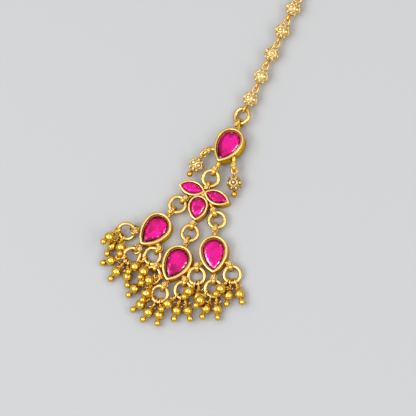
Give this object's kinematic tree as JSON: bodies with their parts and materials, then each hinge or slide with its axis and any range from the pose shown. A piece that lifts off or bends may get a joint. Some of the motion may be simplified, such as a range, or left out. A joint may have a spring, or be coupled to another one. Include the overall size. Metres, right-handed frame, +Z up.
{
  "type": "maang tikka",
  "caption": "Forehead jewel lying flat: a granulated bead chain with a wire hook, pear and flower stone settings linked by jump rings, and ball drops.",
  "frame": {"origin": "bottom centre of the jewel's box as it lies on a flat surface", "axes": "+Y along the tikka from the ball drops to the hook, +Z up from the surface it lies on, +X across it"},
  "size_m": [0.0412, 0.1082, 0.0057],
  "materials": {
    "cast_gold": "satin antique gold plate on cast brass, bright on the rims and darker in the recesses",
    "ring_gold": "satin antique gold plate on round brass wire",
    "ball_gold": "satin yellow gold plate on plain balls, wire loops and pins",
    "bead_gold": "matte antique gold plate on granulated beads, dark between the granules",
    "wire_gold": "satin gold plate on thin drawn wire",
    "ruby_glass": "foil-backed magenta red glass, cut with a table and crown facets"
  },
  "bodies": {
    "root": {"chain_bead_1": "bead_gold", "chain_bead_2": "bead_gold", "chain_bead_3": "bead_gold", "chain_bead_4": "bead_gold", "chain_bead_5": "bead_gold", "chain_pin_1": "wire_gold", "chain_pin_2": "wire_gold", "chain_pin_3": "wire_gold", "chain_pin_4": "wire_gold", "chain_pin_5": "wire_gold", "drops_left_inner": "ball_gold", "drops_left_outer": "ball_gold", "drops_left_tip": "ball_gold", "drops_middle_inner": "ball_gold", "drops_middle_outer": "ball_gold", "drops_middle_tip": "ball_gold", "drops_right_inner": "ball_gold", "drops_right_outer": "ball_gold", "drops_right_tip": "ball_gold", "hook": "wire_gold", "ring_chain": "ring_gold", "ring_flower": "ring_gold", "ring_left": "ring_gold", "ring_left_inner": "ring_gold", "ring_left_outer": "ring_gold", "ring_left_tip": "ring_gold", "ring_middle": "ring_gold", "ring_middle_inner": "ring_gold", "ring_middle_outer": "ring_gold", "ring_middle_tip": "ring_gold", "ring_right": "ring_gold", "ring_right_inner": "ring_gold", "ring_right_outer": "ring_gold", "ring_right_tip": "ring_gold", "setting_flower": "cast_gold", "setting_left": "cast_gold", "setting_middle": "cast_gold", "setting_right": "cast_gold", "setting_top": "cast_gold", "side_bead_left": "bead_gold", "side_bead_right": "bead_gold", "side_pin_left": "wire_gold", "side_pin_right": "wire_gold", "stone_bud": "ruby_glass", "stone_left": "ruby_glass", "stone_middle": "ruby_glass", "stone_petal_left": "ruby_glass", "stone_petal_right": "ruby_glass", "stone_right": "ruby_glass", "stone_top": "ruby_glass"}
  },
  "joints": []
}
